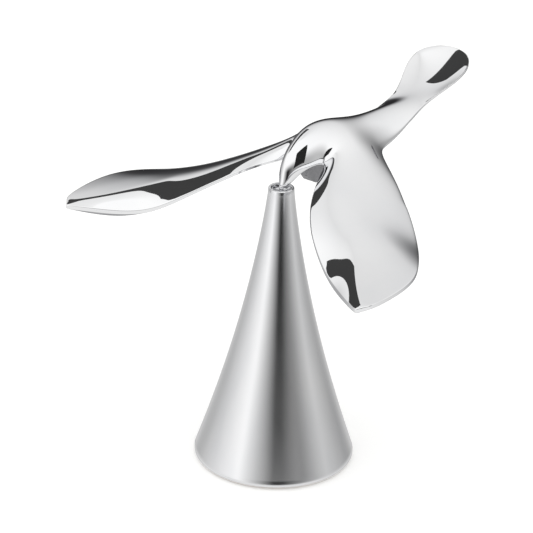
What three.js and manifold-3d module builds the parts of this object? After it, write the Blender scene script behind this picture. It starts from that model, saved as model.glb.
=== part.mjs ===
// Balancing bird on a flared stand. Millimetres, +Z up, bird facing -Y, resting face on z = 0.
import * as THREE from 'three';
import Module from 'manifold-3d';

const wasm = await Module();
wasm.setup();

// ---- driving sizes ---------------------------------------------------------------------------
const STAND_HEIGHT = 129.8;     // resting face to the rim of the cup
const BASE_RADIUS = 35.5;       // foot of the flared column
const RIM_RADIUS = 5.6;         // outside of the column at the cup
const COLUMN_WALL = 1.2;        // spun steel wall
const FOOT_LAND = 3.0;          // straight band round the foot before the flare starts
const ROUND_STEPS = 48;         // facets round the column
const PAD_THICKNESS = 1.2;      // cork pad under the stand
const PLATE_THICKNESS = 5.0;    // steel plate closing the foot
const WEIGHT_HEIGHT = 24;       // cast iron slug inside the foot
const ROD_RADIUS = 2.0;         // M4 tie rod
const PLUG_LENGTH = 15;         // threaded brass plug under the cup
const BALL_RADIUS = 1.1;        // bearing ball at the end of the beak
const PIN_RADIUS = 0.5;         // steel pin holding the ball in the beak
const GAP = 0.3;                // clearance left between neighbouring pieces
const WING_REACH = 72;          // wing tip beyond the joint with the body
const TAIL_LENGTH = 73;         // tail tip behind the wings
const BIRD_HEIGHT = 28;         // tail tip above the ball
const EDGE_THICKNESS = 1.8;     // metal at the wing edges
const REAR_SHARE = 0.45;        // rear face metal against ridge metal
const TIP_WEIGHT = 1.317;         // scales the outer wing's metal to balance the bird
const JOINT_X = 13.2;           // plane where each wing meets the body
const KEEL_WIDTH = 12;          // keel block across the belly
const SMOOTHING_STEPS = 2;      // rounds of surface smoothing on the castings

// ---- the bird's control surface, in mm from the ball, left half -----------------------------
// body station: centre line [y, z], shoulder [x, y, z], side [x, y, z],
// direction towards the underside [y, z], metal under centre, shoulder and side
const BODY = [
  [[-0.6, 0.7], [1.2, 0.1, 0.7], [1.3, 1.6, 0.8], [1, 0], [2.9, 2.2, 0.7]],
  [[-0.4, 2.8], [2.6, 0.9, 2.5], [2.9, 3.4, 2.1], [1, -0.1], [5.4, 3.9, 1.1]],
  [[-0.2, 7.5], [3.3, 2.0, 6.8], [4.4, 5.2, 5.2], [0.9, -0.4], [7.2, 5.2, 1.6]],
  [[2.0, 13.4], [4.0, 5.2, 11.6], [6.2, 8.8, 7.8], [0.6, -0.8], [9.0, 6.8, 2.0]],
  [[8.0, 19.0], [4.8, 11.0, 16.0], [7.8, 13.4, 9.4], [0.25, -1], [11.0, 8.6, 2.2]],
  [[17.5, 22.8], [5.6, 18.0, 19.6], [9.2, 19.2, 10.6], [0, -1], [8.0, 6.4, 5.6]],
  [[26.5, 23.3], [5.9, 26.0, 20.2], [10.8, 26.5, 14.6], [0, -1], [1.8, 2.6, 9.4]],
  [[35.0, 22.0], [6.0, 34.5, 19.2], [11.8, 34.0, 14.6], [0, -1], [1.8, 2.6, 9.4]],
  [[45.0, 19.2], [6.2, 44.5, 16.6], [12.6, 43.5, 11.0], [0, -1], [1.8, 2.6, 7.4]],
  [[56.0, 16.6], [6.4, 55.5, 13.8], [12.6, 54.0, 5.0], [0, -1], [1.7, 2.2, 3.4]],
  [[68.0, 15.4], [6.2, 67.5, 12.0], [11.4, 67.0, 4.4], [0, -1], [1.6, 1.8, 1.8]],
  [[81.0, 14.4], [5.6, 80.5, 12.0], [10.0, 80.5, 8.2], [0, -1], [1.6, 1.6, 1.6]],
  [[94.0, 12.6], [4.6, 94.0, 12.2], [8.0, 94.0, 12.0], [0, -1], [1.6, 1.6, 1.6]],
  [[106.0, 14.0], [6.0, 105.0, 14.6], [11.2, 103.5, 16.4], [0.1, -1], [1.5, 1.5, 1.6]],
  [[117.0, 18.6], [8.4, 115.5, 19.2], [15.0, 113.0, 21.0], [0.3, -1], [1.5, 1.5, 1.6]],
  [[126.5, 25.4], [8.8, 124.5, 25.0], [14.6, 120.5, 24.8], [0.3, -1], [1.5, 1.5, 1.6]],
  [[129.0, 27.4], [5.6, 128.2, 27.0], [10.0, 126.4, 26.2], [0.3, -1], [1.5, 1.5, 1.6]],
];
const ROOT = [5, 6, 7, 8, 9];   // body stations that carry the wing
// wing station: leading edge, front face, ridge, rear face, trailing edge, metal under the ridge
const WING = [
  [[10.2, 14.6, 5.4], [12.4, 18.5, 10.2], [15, 24, 11.4], [19, 35, 7.4], [24, 47.5, 0.8], 5.6],
  [[13.5, 8.8, 5.4], [15.8, 11, 8], [19.4, 14, 8.6], [29.5, 24, 2.6], [41.5, 34.5, -7.2], 4.0],
  [[18.2, -1.6, 4.2], [21.3, 1, 5.8], [26, 4.5, 5.9], [38.5, 14.8, -1.6], [52, 25.6, -11.2], 3.0],
  [[25, -13.8, 0.2], [29.6, -9.8, 1.6], [35.3, -4.8, 1.5], [48, 5.3, -4.7], [61.5, 15.6, -14], 3.0],
  [[34.2, -23, -5.8], [39.8, -18.5, -4], [46, -13.4, -3.2], [57.5, -3.7, -6.5],
    [69.5, 5.2, -13], 5.2],
  [[46, -30.6, -13.8], [50.4, -26.8, -9.6], [55.3, -22.4, -7.7], [66, -13.6, -8.4],
    [77, -6, -11.6], 7.2],
  [[57, -37.8, -15.6], [59.5, -35, -12], [62.6, -32.1, -9.9], [72, -24, -10.2],
    [82.6, -17, -11.6], 7.6],
  [[67.5, -45.6, -14.4], [69, -43.4, -12.9], [70.6, -41.3, -11.8], [77, -36, -11.6],
    [84, -31.5, -12.2], 5.6],
  [[77.6, -51.8, -14], [78.4, -50.8, -13.6], [79.2, -49.6, -13.3], [80.8, -47.8, -13],
    [82.4, -45.6, -12.8], 2.4],
];
const RIDGE_FROM = 5;           // wing station from which the ridge is a crisp line

// ---- frames and scaling ----------------------------------------------------------------------
const PIVOT = [0, 0, STAND_HEIGHT];
const REACH_DRAWN = 84 - 12;
const TAIL_FROM = 56;
const TAIL_DRAWN = 73;
const HEIGHT_DRAWN = 28;

function place(x, y, z) {
  // stretches a drawn point to the driving sizes and sets it on the stand
  const outer = Math.max(0, x - 12) * (WING_REACH / REACH_DRAWN) + Math.min(x, 12);
  const back = Math.max(0, y - TAIL_FROM) * (TAIL_LENGTH / TAIL_DRAWN) + Math.min(y, TAIL_FROM);
  const up = z > 8 ? 8 + (z - 8) * ((BIRD_HEIGHT - 8) / (HEIGHT_DRAWN - 8)) : z;
  return [outer, back, up + PIVOT[2]];
}

// ---- control mesh of the whole bird ----------------------------------------------------------
function newNet() {
  // coarse marks the faces out of sight, which skip the last round of smoothing
  return { points: [], faces: [], coarse: [], creases: new Map() };
}

function edgeKey(a, b) {
  return a < b ? a + '_' + b : b + '_' + a;
}

function addPoint(net, x, y, z) {
  net.points.push(place(x, y, z));
  return net.points.length - 1;
}

function stationPoints(net, station, side) {
  // three upper and three lower points of one half of a body station
  const [centre, shoulder, edge, down, metal] = station;
  const size = Math.hypot(down[0], down[1]);
  const upper = [[0, centre[0], centre[1]], shoulder, edge];
  const top = [];
  const bottom = [];
  upper.forEach(([x, y, z], i) => {
    const dy = metal[i] * down[0] / size;
    const dz = metal[i] * down[1] / size;
    const inward = i === 2 ? x * 0.97 : x;
    top.push([side * x, y, z]);
    bottom.push([side * inward, y + dy, z + dz]);
  });
  return { top, bottom };
}

function wingPoints(station, side) {
  const outer = station[0][0] > 40 ? TIP_WEIGHT : 1;
  const extra = Math.max(0, station[5] - EDGE_THICKNESS) * outer;
  const share = [0, 0.9, 1, REAR_SHARE, 0];
  const top = [];
  const bottom = [];
  for (let i = 0; i < 5; i += 1) {
    const [x, y, z] = station[i];
    const t = EDGE_THICKNESS + share[i] * extra;
    top.push([side * x, y, z]);
    bottom.push([side * x, y, z - t]);
  }
  return { top, bottom };
}

function halfRows(net, side, centreIds) {
  // body rows and wing rows of one side as vertex numbers, upper and lower
  const body = BODY.map((station, i) => {
    const { top, bottom } = stationPoints(net, station, side);
    const ids = { top: [centreIds[i].top], bottom: [centreIds[i].bottom] };
    for (let k = 1; k < 3; k += 1) {
      ids.top.push(signedPoint(net, top[k], side));
      ids.bottom.push(signedPoint(net, bottom[k], side));
    }
    return ids;
  });
  const wing = WING.map((station) => {
    const { top, bottom } = wingPoints(station, side);
    return {
      top: top.map((p) => signedPoint(net, p, side)),
      bottom: bottom.map((p) => signedPoint(net, p, side)),
    };
  });
  wing.unshift({
    top: ROOT.map((i) => body[i].top[2]),
    bottom: ROOT.map((i) => body[i].bottom[2]),
  });
  return { body, wing };
}

function signedPoint(net, [x, y, z], side) {
  const id = addPoint(net, Math.abs(x), y, z);
  net.points[id][0] *= side;
  return id;
}

function addFace(net, quad, flip, coarse) {
  net.faces.push(flip ? quad.slice().reverse() : quad.slice());
  net.coarse.push(coarse);
}

function addGrid(net, rows, layer, flip) {
  for (let i = 0; i + 1 < rows.length; i += 1) {
    const a = rows[i][layer];
    const b = rows[i + 1][layer];
    for (let k = 0; k + 1 < a.length; k += 1) {
      addFace(net, [a[k], a[k + 1], b[k + 1], b[k]], flip, layer === 'bottom');
    }
  }
}

function addRim(net, upper, lower) {
  // closes the metal along a line of edge points; the facing is set afterwards
  for (let i = 0; i + 1 < upper.length; i += 1) {
    addFace(net, [upper[i + 1], upper[i], lower[i], lower[i + 1]], false, true);
  }
}

function outline(half) {
  // edge points of one half from the beak round the wing to the tail
  const { body, wing } = half;
  const walk = (layer) => {
    const head = [body[0][layer][0], body[0][layer][1]];
    for (let i = 0; i <= ROOT[0]; i += 1) head.push(body[i][layer][2]);
    const lead = wing.slice(1).map((row) => row[layer][0]);
    const tip = wing[wing.length - 1][layer].slice(1, 4);
    const trail = wing.slice(1).map((row) => row[layer][4]).reverse();
    const tail = [];
    for (let i = ROOT[4]; i < BODY.length; i += 1) tail.push(body[i][layer][2]);
    const end = body[BODY.length - 1][layer];
    return [...head, ...lead, ...tip, ...trail, ...tail, end[1], end[0]];
  };
  return { top: walk('top'), bottom: walk('bottom') };
}

function crease(net, line, amount) {
  for (let i = 0; i + 1 < line.length; i += 1) {
    net.creases.set(edgeKey(line[i], line[i + 1]), amount(i / (line.length - 2)));
  }
}

function creaseHalf(net, half) {
  const { body, wing } = half;
  for (const layer of ['top', 'bottom']) {
    const lead = wing.slice(1).map((row) => row[layer][0]);
    const trail = wing.slice(1).map((row) => row[layer][4]);
    const tail = [];
    for (let i = ROOT[4]; i < BODY.length; i += 1) tail.push(body[i][layer][2]);
    const last = body[BODY.length - 1][layer];
    crease(net, lead, (t) => (t < 0.05 ? 1 : 3));
    crease(net, trail, (t) => (t < 0.05 ? 1 : 3));
    crease(net, wing[wing.length - 1][layer], () => 2);
    crease(net, tail, (t) => (t < 0.2 ? 1 : 3));
    crease(net, [last[2], last[1], last[0]], () => 3);
  }
  const ridge = wing.slice(RIDGE_FROM).map((row) => row.top[2]);
  crease(net, ridge, () => 1.5);
}

function birdNet() {
  const net = newNet();
  const centreIds = BODY.map((station) => {
    const { top, bottom } = stationPoints(net, station, 1);
    return { top: addPoint(net, ...top[0]), bottom: addPoint(net, ...bottom[0]) };
  });
  for (const side of [1, -1]) {
    const half = halfRows(net, side, centreIds);
    for (const layer of ['top', 'bottom']) {
      const flip = (side < 0) !== (layer === 'bottom');
      addGrid(net, half.body, layer, flip);
      addGrid(net, half.wing, layer, !flip);
    }
    const line = outline(half);
    if (side > 0) addRim(net, line.top, line.bottom);
    else addRim(net, line.top.slice().reverse(), line.bottom.slice().reverse());
    creaseHalf(net, half);
  }
  return net;
}

// ---- Catmull-Clark smoothing -----------------------------------------------------------------
function average(list) {
  const sum = [0, 0, 0];
  for (const p of list) {
    for (let i = 0; i < 3; i += 1) sum[i] += p[i] / list.length;
  }
  return sum;
}

function mix(a, b, t) {
  return a.map((v, i) => v * (1 - t) + b[i] * t);
}

function edgeTable(net) {
  const table = new Map();
  net.faces.forEach((face, f) => {
    face.forEach((a, i) => {
      const b = face[(i + 1) % face.length];
      const key = edgeKey(a, b);
      if (!table.has(key)) table.set(key, { a, b, faces: [], index: table.size });
      table.get(key).faces.push(f);
    });
  });
  return table;
}

function movedVertex(net, v, faces, edges, facePoints) {
  // smoothed position of an existing vertex, held back along creases
  const p = net.points[v];
  const n = faces.length;
  const mids = edges.map((e) => mix(net.points[e.a], net.points[e.b], 0.5));
  const q = average(faces.map((f) => facePoints[f]));
  const r = average(mids);
  const smooth = p.map((c, i) => (q[i] + 2 * r[i] + (n - 3) * c) / n);
  const sharp = edges.filter((e) => e.sharp > 0);
  if (sharp.length < 2) return smooth;
  const hold = Math.min(1, sharp.reduce((s, e) => s + e.sharp, 0) / sharp.length);
  if (sharp.length > 2) return mix(smooth, p, hold);
  const [c, d] = sharp.map((e) => net.points[e.a === v ? e.b : e.a]);
  const along = p.map((w, i) => (c[i] + 6 * w + d[i]) / 8);
  return mix(smooth, along, hold);
}

function smoothOnce(net, last) {
  const table = edgeTable(net);
  const facePoints = net.faces.map((face) => average(face.map((v) => net.points[v])));
  const facesOf = net.points.map(() => []);
  const edgesOf = net.points.map(() => []);
  net.faces.forEach((face, f) => face.forEach((v) => facesOf[v].push(f)));
  for (const [key, e] of table) {
    e.sharp = net.creases.get(key) || 0;
    edgesOf[e.a].push(e);
    edgesOf[e.b].push(e);
  }
  const next = newNet();
  next.points = net.points.map((p, v) => (
    movedVertex(net, v, facesOf[v], edgesOf[v], facePoints)));
  const faceBase = next.points.length;
  next.points.push(...facePoints);
  const edgeBase = next.points.length;
  for (const e of table.values()) {
    const mid = mix(net.points[e.a], net.points[e.b], 0.5);
    const soft = mix(average(e.faces.map((f) => facePoints[f])), mid, 0.5);
    next.points.push(mix(soft, mid, Math.min(1, e.sharp)));
    if (e.sharp > 1) {
      next.creases.set(edgeKey(e.a, edgeBase + e.index), e.sharp - 1);
      next.creases.set(edgeKey(e.b, edgeBase + e.index), e.sharp - 1);
    }
  }
  net.faces.forEach((face, f) => {
    if (last && net.coarse[f]) {
      next.faces.push(keptFace(net, face, table, edgeBase));
      next.coarse.push(true);
    } else {
      splitFace(next, face, table, edgeBase, faceBase + f, net.coarse[f]);
    }
  });
  return next;
}

function splitFace(next, face, table, edgeBase, centre, coarse) {
  const edgeId = (a, b) => edgeBase + table.get(edgeKey(a, b)).index;
  face.forEach((v, i) => {
    const after = face[(i + 1) % face.length];
    const before = face[(i + face.length - 1) % face.length];
    next.faces.push([v, edgeId(v, after), centre, edgeId(before, v)]);
    next.coarse.push(coarse);
  });
}

function keptFace(net, face, table, edgeBase) {
  // a face left whole, with a point added on each edge it shares with a split one,
  // and written from such a point so that a fan of triangles fills it
  const ring = [];
  let start = 0;
  face.forEach((v, i) => {
    const e = table.get(edgeKey(v, face[(i + 1) % face.length]));
    ring.push(v);
    if (e.faces.some((f) => !net.coarse[f])) {
      start = ring.length;
      ring.push(edgeBase + e.index);
    }
  });
  return [...ring.slice(start), ...ring.slice(0, start)];
}

// ---- solids ----------------------------------------------------------------------------------
function solid(points, triangles) {
  const mesh = new wasm.Mesh({
    numProp: 3,
    vertProperties: new Float32Array(points.flat()),
    triVerts: new Uint32Array(triangles.flat()),
  });
  return new wasm.Manifold(mesh);
}

function birdSolid() {
  let net = birdNet();
  for (let i = 1; i <= SMOOTHING_STEPS; i += 1) net = smoothOnce(net, i === SMOOTHING_STEPS);
  const used = new Map();
  const points = [];
  const number = (v) => {
    if (!used.has(v)) {
      used.set(v, points.length);
      points.push(net.points[v]);
    }
    return used.get(v);
  };
  const triangles = [];
  for (const face of net.faces) {
    for (let i = 1; i + 1 < face.length; i += 1) {
      triangles.push([face[0], face[i], face[i + 1]].map(number));
    }
  }
  return solid(points, triangles);
}

function revolve(profile, steps = ROUND_STEPS) {
  // turns a closed outline of [radius, z], walked upwards on the outside, about the Z axis
  const points = [];
  const rings = profile.map(([r, z]) => {
    const ring = [];
    for (let i = 0; i < steps; i += 1) {
      if (r === 0 && i > 0) {
        ring.push(ring[0]);
      } else {
        const a = 2 * Math.PI * i / steps;
        points.push([r * Math.cos(a), r * Math.sin(a), z]);
        ring.push(points.length - 1);
      }
    }
    return ring;
  });
  const triangles = [];
  rings.forEach((ring, k) => {
    const up = rings[(k + 1) % rings.length];
    for (let i = 0; i < steps; i += 1) {
      const j = (i + 1) % steps;
      if (ring[i] !== ring[j]) triangles.push([ring[i], ring[j], up[j]]);
      if (up[i] !== up[j]) triangles.push([ring[i], up[j], up[i]]);
    }
  });
  return solid(points, triangles);
}

function cylinder(radius, from, to, steps = 24) {
  // round bar between two points
  const start = new THREE.Vector3(...from);
  const axis = new THREE.Vector3(...to).sub(start);
  const turn = new THREE.Quaternion().setFromUnitVectors(
    new THREE.Vector3(0, 0, 1), axis.clone().normalize());
  const side = new THREE.Vector3(1, 0, 0).applyQuaternion(turn);
  const other = new THREE.Vector3(0, 1, 0).applyQuaternion(turn);
  const points = [[...start], [...start.clone().add(axis)]];
  const triangles = [];
  for (let i = 0; i < steps; i += 1) {
    const a = 2 * Math.PI * i / steps;
    const out = side.clone().multiplyScalar(radius * Math.cos(a))
      .addScaledVector(other, radius * Math.sin(a));
    points.push([...start.clone().add(out)], [...start.clone().add(axis).add(out)]);
  }
  for (let i = 0; i < steps; i += 1) {
    const a = 2 + 2 * i;
    const b = 2 + 2 * ((i + 1) % steps);
    triangles.push([0, b, a], [1, a + 1, b + 1], [a, b, b + 1], [a, b + 1, a + 1]);
  }
  return solid(points, triangles);
}

function sphere(radius, centre, steps = 16) {
  const profile = [];
  for (let i = 0; i <= steps / 2; i += 1) {
    const a = -Math.PI / 2 + 2 * Math.PI * i / steps;
    const pole = i === 0 || i === steps / 2;
    profile.push([pole ? 0 : radius * Math.cos(a), centre[2] + radius * Math.sin(a)]);
  }
  const ball = revolve(profile, steps);
  return ball.translate([centre[0], centre[1], 0]);
}

function prism(outlineYZ, x0, x1) {
  // flat-sided block: a convex outline in y, z walked so that +X is its outward face
  const n = outlineYZ.length;
  const points = [];
  for (const x of [x0, x1]) {
    for (const [y, z] of outlineYZ) points.push([x, y, z]);
  }
  const triangles = [];
  for (let i = 0; i < n; i += 1) {
    const j = (i + 1) % n;
    triangles.push([i, j, n + j], [i, n + j, n + i]);
    if (i > 0 && j > 0) triangles.push([0, j, i], [n, n + i, n + j]);
  }
  return solid(points, triangles);
}

function plate(outlineXY, z0, z1) {
  // flat-sided block: an outline in x, y, in either direction, between two heights
  let turned = 0;
  outlineXY.forEach(([x, y], i) => {
    const [u, v] = outlineXY[(i + 1) % outlineXY.length];
    turned += x * v - u * y;
  });
  const shape = turned < 0 ? outlineXY.slice().reverse() : outlineXY;
  const upright = prism(shape, z0, z1);
  const quarter = new THREE.Matrix4().set(0, 1, 0, 0, 0, 0, 1, 0, 1, 0, 0, 0, 0, 0, 0, 1);
  return upright.transform(quarter.toArray());
}

function block(x0, x1, y0, y1, z0, z1) {
  return prism([[y0, z0], [y1, z0], [y1, z1], [y0, z1]], x0, x1);
}

function bolt(headRadius, headHeight, shankRadius, from, to) {
  // cheese-head screw, head at from
  const a = new THREE.Vector3(...from);
  const b = new THREE.Vector3(...to);
  const dir = b.clone().sub(a).normalize();
  const under = a.clone().addScaledVector(dir, headHeight);
  const overlap = under.clone().addScaledVector(dir, -0.2);
  const head = cylinder(headRadius, [...a], [...under]);
  const shank = cylinder(shankRadius, [...overlap], [...b]);
  const key = a.clone().addScaledVector(dir, headHeight * 0.55);
  const before = a.clone().addScaledVector(dir, -0.5);
  const socket = cylinder(headRadius * 0.5, [...before], [...key], 6);
  return head.add(shank).subtract(socket);
}

// ---- the stand -------------------------------------------------------------------------------
function columnRadius(z) {
  const u = Math.min(1, Math.max(0, (z - FOOT_LAND) / (STAND_HEIGHT - FOOT_LAND)));
  const power = 1.44 - 0.17 * u * u;
  return RIM_RADIUS + (BASE_RADIUS - RIM_RADIUS) * Math.pow(1 - u, power);
}

function levels(from, to, count) {
  const list = [];
  for (let i = 0; i <= count; i += 1) list.push(from + (to - from) * i / count);
  return list;
}

function column() {
  const z0 = PAD_THICKNESS;
  const edge = 0.5;
  const outside = [[BASE_RADIUS - edge, z0], [BASE_RADIUS, z0 + edge]];
  for (const z of levels(FOOT_LAND, STAND_HEIGHT - 0.4, 11)) outside.push([columnRadius(z), z]);
  const top = columnRadius(STAND_HEIGHT);
  outside.push([top - 0.35, STAND_HEIGHT]);
  const inside = [[top - COLUMN_WALL + 0.3, STAND_HEIGHT], [top - COLUMN_WALL, STAND_HEIGHT - 0.4]];
  for (const z of levels(STAND_HEIGHT - 4, FOOT_LAND, 6)) {
    inside.push([columnRadius(z) - COLUMN_WALL, z]);
  }
  inside.push([BASE_RADIUS - COLUMN_WALL, z0]);
  return revolve([...outside, ...inside]);
}

const PLATE_TOP = PAD_THICKNESS + PLATE_THICKNESS;
const INNER_FOOT = BASE_RADIUS - COLUMN_WALL - GAP;
const NUT_RADIUS = ROD_RADIUS * 2;
const NUT_HEIGHT = ROD_RADIUS * 1.1;
const WASHER_HEIGHT = 0.8;
const WELL_TOP = PAD_THICKNESS + NUT_HEIGHT + WASHER_HEIGHT + 0.4;
const PLUG_TOP = STAND_HEIGHT - 3.6;
const PLUG_FOOT = PLUG_TOP - PLUG_LENGTH;

function basePlate() {
  const top = Math.min(INNER_FOOT, columnRadius(PLATE_TOP) - COLUMN_WALL - GAP);
  const plate = revolve([[0, PAD_THICKNESS], [INNER_FOOT - 0.4, PAD_THICKNESS],
    [INNER_FOOT, PAD_THICKNESS + 0.4], [top - 0.4, PLATE_TOP], [0, PLATE_TOP]]);
  const hole = cylinder(ROD_RADIUS + GAP, [0, 0, 0], [0, 0, 20]);
  const well = cylinder(NUT_RADIUS + 1.6, [0, 0, 0], [0, 0, WELL_TOP]);
  return plate.subtract(hole).subtract(well);
}

function footPad() {
  return revolve([[0, 0], [INNER_FOOT - 0.8, 0], [INNER_FOOT - 0.5, 0.3],
    [INNER_FOOT - 0.5, PAD_THICKNESS - 0.05], [0, PAD_THICKNESS - 0.05]]);
}

function standWeight() {
  const low = PLATE_TOP + 0.1;
  const high = low + WEIGHT_HEIGHT;
  const profile = [[0, low]];
  for (const z of levels(low, high, 4)) {
    profile.push([columnRadius(z + 0.6) - COLUMN_WALL - GAP - 0.5, z]);
  }
  profile.push([0, high]);
  const slug = revolve(profile);
  const hole = cylinder(ROD_RADIUS + GAP, [0, 0, 0], [0, 0, high + 5]);
  return slug.subtract(hole);
}

function tieRod() {
  const low = PAD_THICKNESS + 0.1;
  const high = PLUG_FOOT + PLUG_LENGTH * 0.6;
  return cylinder(ROD_RADIUS, [0, 0, low], [0, 0, high]);
}

function hexNut(z0) {
  const body = cylinder(NUT_RADIUS, [0, 0, z0], [0, 0, z0 + NUT_HEIGHT], 6);
  return body.subtract(cylinder(ROD_RADIUS + 0.1, [0, 0, z0 - 1], [0, 0, z0 + 9]));
}

function washer(z0, radius) {
  const disc = cylinder(radius, [0, 0, z0], [0, 0, z0 + WASHER_HEIGHT], 32);
  return disc.subtract(cylinder(ROD_RADIUS + 0.1, [0, 0, z0 - 1], [0, 0, z0 + 5]));
}

function topPlug() {
  const fit = (z) => columnRadius(z) - COLUMN_WALL - GAP;
  const profile = [[0, PLUG_FOOT]];
  for (const z of levels(PLUG_FOOT, PLUG_TOP, 4)) profile.push([fit(z + 0.8), z]);
  profile.push([0, PLUG_TOP]);
  const plug = revolve(profile, 32);
  const depth = PLUG_FOOT + PLUG_LENGTH * 0.68;
  return plug.subtract(cylinder(ROD_RADIUS + 0.1, [0, 0, PLUG_FOOT - 1], [0, 0, depth]));
}

function pivotCup() {
  const out = RIM_RADIUS - COLUMN_WALL - GAP;
  const low = PLUG_TOP + 0.2 - STAND_HEIGHT;
  const well = BALL_RADIUS + 0.25;
  const profile = [[0, low], [out - 0.3, low], [out, low + 0.3], [out, -0.4], [out - 0.3, -0.2],
    [out * 0.8, -0.55], [out * 0.55, -0.95], [well * 0.7, -well * 0.86], [well * 0.35, -well * 0.97],
    [0, -well]];
  return revolve(profile.map(([r, z]) => [r, z + STAND_HEIGHT]), 32);
}

// ---- the bird's pieces -----------------------------------------------------------------------
const PIN_DIR = [0, 0.41, 0.912];

function along(distance) {
  return PIN_DIR.map((c, i) => c * distance + PIVOT[i]);
}

function centreHeight(y) {
  // height of the back's centre line at a given y
  for (let i = 4; i + 1 < BODY.length; i += 1) {
    const [a, b] = [BODY[i][0], BODY[i + 1][0]];
    if (y <= b[0]) {
      const t = (y - a[0]) / (b[0] - a[0]);
      return place(0, y, a[1] + (b[1] - a[1]) * t)[2];
    }
  }
  return PIVOT[2];
}

const SCREW_Y = [22.5, 33.5];
const KEEL_TOP = PIVOT[2] + 7.2;
const BOSS_RADIUS = 2.9;
const SCREW_RADIUS = 1.0;
const DOWEL_RADIUS = 1.1;
const DOWELS = [[21.5, 7.2], [34.5, 6.2]];   // y and height above the ball of each wing dowel
const DOWEL_HALF = 4.5;

function boss(y) {
  const top = centreHeight(y) - 1.9;
  const post = cylinder(BOSS_RADIUS, [0, y, KEEL_TOP + GAP], [0, y, top]);
  return post;
}

function keelOutline() {
  const z = PIVOT[2];
  return [[20.2, z - 3.6], [31, z - 6.0], [38, z - 2.4], [39, z + 4.2], [36.5, KEEL_TOP],
    [18.4, KEEL_TOP], [15.8, z + 0.2]];
}

function keelBlock() {
  const half = KEEL_WIDTH / 2;
  let keel = prism(keelOutline(), -half, half);
  for (const side of [1, -1]) {
    // the bow narrows to a blunt nose
    const [nose, cheek, out] = [side * 1.6, side * half, side * (half + 9)];
    const wedge = [[nose, 10], [nose, 16], [cheek, 28], [out, 28], [out, 10]];
    keel = keel.subtract(plate(wedge, PIVOT[2] - 20, PIVOT[2] + 20));
  }
  for (const y of SCREW_Y) {
    keel = keel.subtract(cylinder(SCREW_RADIUS + GAP, [0, y, PIVOT[2] - 20], [0, y, KEEL_TOP + 1]));
    keel = keel.subtract(cylinder(2.3, [0, y, PIVOT[2] - 20], [0, y, PIVOT[2] - 1.0]));
  }
  return keel;
}

function dowel(side, [y, z], extra = 0) {
  const start = [side * (JOINT_X - DOWEL_HALF - extra), y, PIVOT[2] + z];
  const end = [side * (JOINT_X + DOWEL_HALF + extra), y, PIVOT[2] + z];
  return cylinder(DOWEL_RADIUS + extra * 0.6, start, end, 20);
}

function wingZone(side, shift) {
  const near = side * (JOINT_X + shift);
  const far = side * (JOINT_X + WING_REACH * 2);
  return block(Math.min(near, far), Math.max(near, far), -150, 62, 0, PIVOT[2] + 90);
}

function drillDowels(piece, side) {
  let result = piece;
  for (const spot of DOWELS) result = result.subtract(dowel(side, spot, GAP));
  return result;
}

function castings() {
  const whole = birdSolid();
  let body = whole;
  for (const side of [1, -1]) body = body.subtract(wingZone(side, -GAP / 2));
  for (const y of SCREW_Y) {
    body = body.add(boss(y));
    const tip = centreHeight(y) - 5.5;
    body = body.subtract(cylinder(SCREW_RADIUS + 0.15, [0, y, PIVOT[2]], [0, y, tip]));
  }
  for (const side of [1, -1]) body = drillDowels(body, side);
  body = body.subtract(sphere(BALL_RADIUS + 0.25, PIVOT));
  body = body.subtract(cylinder(PIN_RADIUS + 0.2, along(0), along(9)));
  const wings = [1, -1].map((side) => (
    drillDowels(whole.intersect(wingZone(side, GAP / 2)), side)));
  return { body, left: wings[0], right: wings[1] };
}

// ---- assembly --------------------------------------------------------------------------------
const group = new THREE.Group();
group.name = 'balancing_bird';

function addPiece(name, shape, color, metalness, roughness) {
  const { vertProperties, triVerts, numProp } = shape.getMesh();
  const positions = new Float32Array(triVerts.length * 3);
  triVerts.forEach((v, i) => {
    for (let k = 0; k < 3; k += 1) positions[i * 3 + k] = vertProperties[v * numProp + k];
  });
  const geometry = new THREE.BufferGeometry();
  geometry.setAttribute('position', new THREE.BufferAttribute(positions, 3));
  geometry.computeVertexNormals();
  const material = new THREE.MeshStandardMaterial({ color, metalness, roughness });
  const mesh = new THREE.Mesh(geometry, material);
  mesh.name = name;
  group.add(mesh);
}

const CHROME = [0xd4d6d8, 1, 0.08];
const STEEL = [0xb4b7ba, 1, 0.3];
const BRASS = [0xc2a35c, 1, 0.3];

addPiece('foot_pad', footPad(), 0x8a6a48, 0, 0.95);
addPiece('base_plate', basePlate(), ...STEEL);
addPiece('stand_weight', standWeight(), 0x4b4d50, 0.6, 0.7);
addPiece('stand_column', column(), 0xc3c5c8, 1, 0.15);
addPiece('tie_rod', tieRod(), ...STEEL);
addPiece('tie_washer', washer(WELL_TOP - 0.1 - WASHER_HEIGHT, NUT_RADIUS + 1), ...STEEL);
addPiece('tie_nut', hexNut(PAD_THICKNESS + 0.2), ...STEEL);
addPiece('top_plug', topPlug(), ...BRASS);
addPiece('pivot_cup', pivotCup(), 0x9a9da1, 1, 0.15);
addPiece('pivot_ball', sphere(BALL_RADIUS, PIVOT), ...CHROME);
const cast = castings();
addPiece('bird_body', cast.body, ...CHROME);
addPiece('left_wing', cast.left, ...CHROME);
addPiece('right_wing', cast.right, ...CHROME);
addPiece('keel_block', keelBlock(), 0x9c9fa3, 0.9, 0.4);
addPiece('beak_pin', cylinder(PIN_RADIUS, along(BALL_RADIUS + 0.2), along(8), 16), ...STEEL);
[['left', 1], ['right', -1]].forEach(([side, sign]) => {
  DOWELS.forEach((spot, i) => {
    const name = side + '_dowel_' + (i === 0 ? 'front' : 'rear');
    addPiece(name, dowel(sign, spot), ...STEEL);
  });
});
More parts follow.
